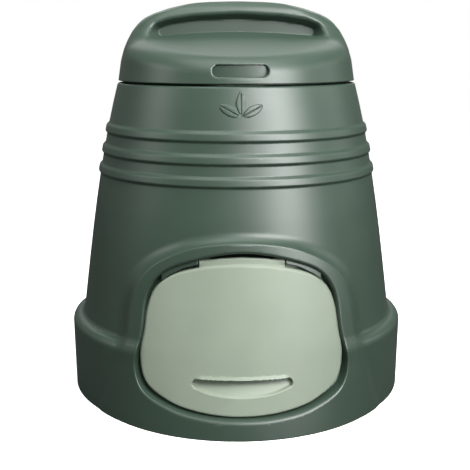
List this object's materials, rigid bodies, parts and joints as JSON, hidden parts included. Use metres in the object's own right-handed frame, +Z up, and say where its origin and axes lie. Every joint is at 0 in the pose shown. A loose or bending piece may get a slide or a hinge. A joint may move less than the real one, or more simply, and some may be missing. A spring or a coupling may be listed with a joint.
{
  "type": "compost bin",
  "caption": "Conical garden compost bin with a ribbed hull on a plinth ring, a lift-off lid with a handle ridge and a hinged flap at the foot for emptying.",
  "frame": {"origin": "middle of the footprint, on the ground; the door surround reaches out in front, so the hull's axis is 11 mm behind it", "axes": "+Z up, the flap and its surround face -Y, +X to the right seen from the front"},
  "size_m": [0.768, 0.79, 0.872],
  "materials": {
    "hull": "satin moulded plastic, dark green",
    "lid": "satin moulded plastic, dark green",
    "flap": "satin moulded plastic, pale green",
    "hinge_pins": "plain moulded plastic, dark green"
  },
  "bodies": {
    "hull": {"hull": "hull"},
    "lid": {"lid": "lid"},
    "flap": {"flap": "flap", "hinge_pin_left": "hinge_pins", "hinge_pin_right": "hinge_pins"}
  },
  "joints": [
    {"name": "lid_lift", "type": "slide", "parent": "hull", "child": "lid", "axis": [0, 0, 1], "range_m": [0, 0.3]},
    {"name": "flap_hinge", "type": "hinge", "parent": "hull", "child": "flap", "pos_m": [0, -0.314, 0.35], "axis": [-1, 0, 0], "range_deg": [0, 80]}
  ]
}
